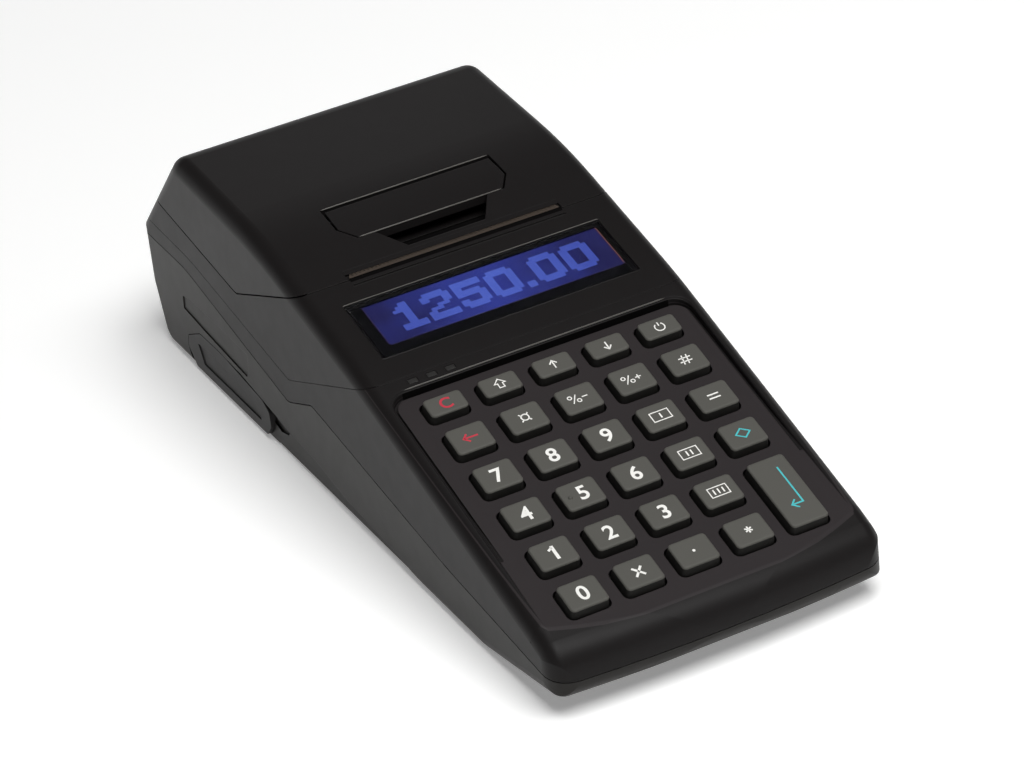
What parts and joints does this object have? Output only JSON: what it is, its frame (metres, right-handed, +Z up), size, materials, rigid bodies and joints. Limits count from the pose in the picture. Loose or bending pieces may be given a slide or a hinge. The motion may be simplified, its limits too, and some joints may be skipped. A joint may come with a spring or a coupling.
{
  "type": "ticket register",
  "caption": "Portable black cash register with a sloped 29-key deck, a wide blue display, and a rear paper lid over a roll trough and a thermal ticket printer",
  "frame": {"origin": "centre of the footprint's bounding box, on the surface that the feet stand on", "axes": "+X to the user's right, +Y from the keypad to the paper lid, +Z up"},
  "size_m": [0.088, 0.2255, 0.064],
  "materials": {
    "housing_black": "fine satin moulded ABS, black",
    "lid_black": "fine satin moulded ABS, black",
    "tub_dark": "satin moulded ABS, very dark grey",
    "key_grey": "matte silicone rubber, warm grey",
    "pane": "polished acrylic window with a black printed border",
    "lcd": "blue backlit LCD glass",
    "light_pipe": "smoky clear polycarbonate",
    "mat": "moulded silicone sheet",
    "board": "green solder mask on glass-fibre board",
    "bay": "moulded ABS, black",
    "printer_frame": "glass-filled polyamide, black",
    "print_head": "glazed alumina heater strip",
    "spring_steel": "cold-rolled spring steel",
    "motor": "zinc-plated steel can",
    "gear": "natural acetal",
    "steel": "ground steel pin",
    "roller": "ground neoprene sleeve",
    "bronze": "bronze-tinted passivated steel, sawn teeth",
    "foot": "moulded rubber",
    "screw": "black oxide steel",
    "battery": "shrink sleeve over two cells",
    "flap": "soft elastomer, black",
    "port": "moulded nylon, black"
  },
  "bodies": {
    "base": {"lower_housing": "tub_dark", "upper_housing": "housing_black", "display_cover": "housing_black", "paper_bay": "bay", "display_window": "pane", "lcd_module": "lcd", "led_light_pipes": "light_pipe", "keypad_mat": "mat", "main_board": "board", "print_head": "print_head", "head_spring": "spring_steel", "printer_frame": "printer_frame", "stepper_motor": "motor", "lid_hinge_pin": "steel", "housing_screws": "screw", "rubber_feet": "foot", "battery_pack": "battery", "port_connectors": "port"},
    "lid": {"paper_lid": "lid_black", "tear_bar": "bronze", "platen_bushes": "gear", "lever_pin": "steel", "lever_spring": "spring_steel"},
    "lever": {"lid_lever": "lid_black"},
    "platen": {"platen_shaft": "steel", "platen_roller": "roller", "platen_gear": "gear"},
    "idler": {"idler_gear": "gear"},
    "pinion": {"motor_pinion": "gear"},
    "battery_door": {"battery_cover": "tub_dark"},
    "flap": {"port_flap": "flap"},
    "key_clear": {"key_clear": "key_grey"},
    "key_shift": {"key_shift": "key_grey"},
    "key_scroll_up": {"key_scroll_up": "key_grey"},
    "key_scroll_down": {"key_scroll_down": "key_grey"},
    "key_power": {"key_power": "key_grey"},
    "key_void": {"key_void": "key_grey"},
    "key_price": {"key_price": "key_grey"},
    "key_minus_percent": {"key_minus_percent": "key_grey"},
    "key_plus_percent": {"key_plus_percent": "key_grey"},
    "key_lookup": {"key_lookup": "key_grey"},
    "key_7": {"key_7": "key_grey"},
    "key_8": {"key_8": "key_grey"},
    "key_9": {"key_9": "key_grey"},
    "key_department_1": {"key_department_1": "key_grey"},
    "key_pay": {"key_pay": "key_grey"},
    "key_4": {"key_4": "key_grey"},
    "key_5": {"key_5": "key_grey"},
    "key_6": {"key_6": "key_grey"},
    "key_department_2": {"key_department_2": "key_grey"},
    "key_subtotal": {"key_subtotal": "key_grey"},
    "key_1": {"key_1": "key_grey"},
    "key_2": {"key_2": "key_grey"},
    "key_3": {"key_3": "key_grey"},
    "key_department_3": {"key_department_3": "key_grey"},
    "key_total": {"key_total": "key_grey"},
    "key_0": {"key_0": "key_grey"},
    "key_times": {"key_times": "key_grey"},
    "key_point": {"key_point": "key_grey"},
    "key_star": {"key_star": "key_grey"}
  },
  "joints": [
    {"name": "lid_hinge", "type": "hinge", "parent": "base", "child": "lid", "pos_m": [0, 0.10027, 0.0457], "axis": [-1, 0, 0], "range_deg": [0, 95]},
    {"name": "lever_tip", "type": "hinge", "parent": "lid", "child": "lever", "pos_m": [0, 0.0343, 0.05867], "axis": [-1, 0, 0], "range_deg": [0, 30], "stiffness_Nm_per_rad": 0.02, "springref_deg": -20.05},
    {"name": "platen_spin", "type": "hinge", "parent": "lid", "child": "platen", "pos_m": [0, 0.017, 0.0458], "axis": [1, 0, 0], "continuous": true},
    {"name": "idler_spin", "type": "hinge", "parent": "base", "child": "idler", "pos_m": [0, 0.01826, 0.03145], "axis": [1, 0, 0], "continuous": true},
    {"name": "pinion_spin", "type": "hinge", "parent": "base", "child": "pinion", "pos_m": [0, 0.00586, 0.02825], "axis": [1, 0, 0], "continuous": true},
    {"name": "battery_slide", "type": "slide", "parent": "base", "child": "battery_door", "axis": [0, -1, 0], "range_m": [0, 0.012]},
    {"name": "flap_swing", "type": "hinge", "parent": "base", "child": "flap", "pos_m": [-0.044, 0.0901, 0.0057], "axis": [0, 0, -1], "range_deg": [0, 95]},
    {"name": "key_clear_press", "type": "slide", "parent": "base", "child": "key_clear", "axis": [0, 0.3007, -0.9537], "range_m": [0, 0.0012], "stiffness_N_per_m": 150, "springref_m": -0.0005},
    {"name": "key_shift_press", "type": "slide", "parent": "base", "child": "key_shift", "axis": [0, 0.3007, -0.9537], "range_m": [0, 0.0012], "stiffness_N_per_m": 150, "springref_m": -0.0005},
    {"name": "key_scroll_up_press", "type": "slide", "parent": "base", "child": "key_scroll_up", "axis": [0, 0.3007, -0.9537], "range_m": [0, 0.0012], "stiffness_N_per_m": 150, "springref_m": -0.0005},
    {"name": "key_scroll_down_press", "type": "slide", "parent": "base", "child": "key_scroll_down", "axis": [0, 0.3007, -0.9537], "range_m": [0, 0.0012], "stiffness_N_per_m": 150, "springref_m": -0.0005},
    {"name": "key_power_press", "type": "slide", "parent": "base", "child": "key_power", "axis": [0, 0.3007, -0.9537], "range_m": [0, 0.0012], "stiffness_N_per_m": 150, "springref_m": -0.0005},
    {"name": "key_void_press", "type": "slide", "parent": "base", "child": "key_void", "axis": [0, 0.3007, -0.9537], "range_m": [0, 0.0012], "stiffness_N_per_m": 150, "springref_m": -0.0005},
    {"name": "key_price_press", "type": "slide", "parent": "base", "child": "key_price", "axis": [0, 0.3007, -0.9537], "range_m": [0, 0.0012], "stiffness_N_per_m": 150, "springref_m": -0.0005},
    {"name": "key_minus_percent_press", "type": "slide", "parent": "base", "child": "key_minus_percent", "axis": [0, 0.3007, -0.9537], "range_m": [0, 0.0012], "stiffness_N_per_m": 150, "springref_m": -0.0005},
    {"name": "key_plus_percent_press", "type": "slide", "parent": "base", "child": "key_plus_percent", "axis": [0, 0.3007, -0.9537], "range_m": [0, 0.0012], "stiffness_N_per_m": 150, "springref_m": -0.0005},
    {"name": "key_lookup_press", "type": "slide", "parent": "base", "child": "key_lookup", "axis": [0, 0.3007, -0.9537], "range_m": [0, 0.0012], "stiffness_N_per_m": 150, "springref_m": -0.0005},
    {"name": "key_7_press", "type": "slide", "parent": "base", "child": "key_7", "axis": [0, 0.3007, -0.9537], "range_m": [0, 0.0012], "stiffness_N_per_m": 150, "springref_m": -0.0005},
    {"name": "key_8_press", "type": "slide", "parent": "base", "child": "key_8", "axis": [0, 0.3007, -0.9537], "range_m": [0, 0.0012], "stiffness_N_per_m": 150, "springref_m": -0.0005},
    {"name": "key_9_press", "type": "slide", "parent": "base", "child": "key_9", "axis": [0, 0.3007, -0.9537], "range_m": [0, 0.0012], "stiffness_N_per_m": 150, "springref_m": -0.0005},
    {"name": "key_department_1_press", "type": "slide", "parent": "base", "child": "key_department_1", "axis": [0, 0.3007, -0.9537], "range_m": [0, 0.0012], "stiffness_N_per_m": 150, "springref_m": -0.0005},
    {"name": "key_pay_press", "type": "slide", "parent": "base", "child": "key_pay", "axis": [0, 0.3007, -0.9537], "range_m": [0, 0.0012], "stiffness_N_per_m": 150, "springref_m": -0.0005},
    {"name": "key_4_press", "type": "slide", "parent": "base", "child": "key_4", "axis": [0, 0.3007, -0.9537], "range_m": [0, 0.0012], "stiffness_N_per_m": 150, "springref_m": -0.0005},
    {"name": "key_5_press", "type": "slide", "parent": "base", "child": "key_5", "axis": [0, 0.3007, -0.9537], "range_m": [0, 0.0012], "stiffness_N_per_m": 150, "springref_m": -0.0005},
    {"name": "key_6_press", "type": "slide", "parent": "base", "child": "key_6", "axis": [0, 0.3007, -0.9537], "range_m": [0, 0.0012], "stiffness_N_per_m": 150, "springref_m": -0.0005},
    {"name": "key_department_2_press", "type": "slide", "parent": "base", "child": "key_department_2", "axis": [0, 0.3007, -0.9537], "range_m": [0, 0.0012], "stiffness_N_per_m": 150, "springref_m": -0.0005},
    {"name": "key_subtotal_press", "type": "slide", "parent": "base", "child": "key_subtotal", "axis": [0, 0.3007, -0.9537], "range_m": [0, 0.0012], "stiffness_N_per_m": 150, "springref_m": -0.0005},
    {"name": "key_1_press", "type": "slide", "parent": "base", "child": "key_1", "axis": [0, 0.3007, -0.9537], "range_m": [0, 0.0012], "stiffness_N_per_m": 150, "springref_m": -0.0005},
    {"name": "key_2_press", "type": "slide", "parent": "base", "child": "key_2", "axis": [0, 0.3007, -0.9537], "range_m": [0, 0.0012], "stiffness_N_per_m": 150, "springref_m": -0.0005},
    {"name": "key_3_press", "type": "slide", "parent": "base", "child": "key_3", "axis": [0, 0.3007, -0.9537], "range_m": [0, 0.0012], "stiffness_N_per_m": 150, "springref_m": -0.0005},
    {"name": "key_department_3_press", "type": "slide", "parent": "base", "child": "key_department_3", "axis": [0, 0.3007, -0.9537], "range_m": [0, 0.0012], "stiffness_N_per_m": 150, "springref_m": -0.0005},
    {"name": "key_total_press", "type": "slide", "parent": "base", "child": "key_total", "axis": [0, 0.3007, -0.9537], "range_m": [0, 0.0012], "stiffness_N_per_m": 150, "springref_m": -0.0005},
    {"name": "key_0_press", "type": "slide", "parent": "base", "child": "key_0", "axis": [0, 0.3007, -0.9537], "range_m": [0, 0.0012], "stiffness_N_per_m": 150, "springref_m": -0.0005},
    {"name": "key_times_press", "type": "slide", "parent": "base", "child": "key_times", "axis": [0, 0.3007, -0.9537], "range_m": [0, 0.0012], "stiffness_N_per_m": 150, "springref_m": -0.0005},
    {"name": "key_point_press", "type": "slide", "parent": "base", "child": "key_point", "axis": [0, 0.3007, -0.9537], "range_m": [0, 0.0012], "stiffness_N_per_m": 150, "springref_m": -0.0005},
    {"name": "key_star_press", "type": "slide", "parent": "base", "child": "key_star", "axis": [0, 0.3007, -0.9537], "range_m": [0, 0.0012], "stiffness_N_per_m": 150, "springref_m": -0.0005}
  ],
  "couplings": [
    {"joint": "idler_spin", "follows": "platen_spin", "ratio": -0.8},
    {"joint": "pinion_spin", "follows": "platen_spin", "ratio": 1.3333}
  ]
}
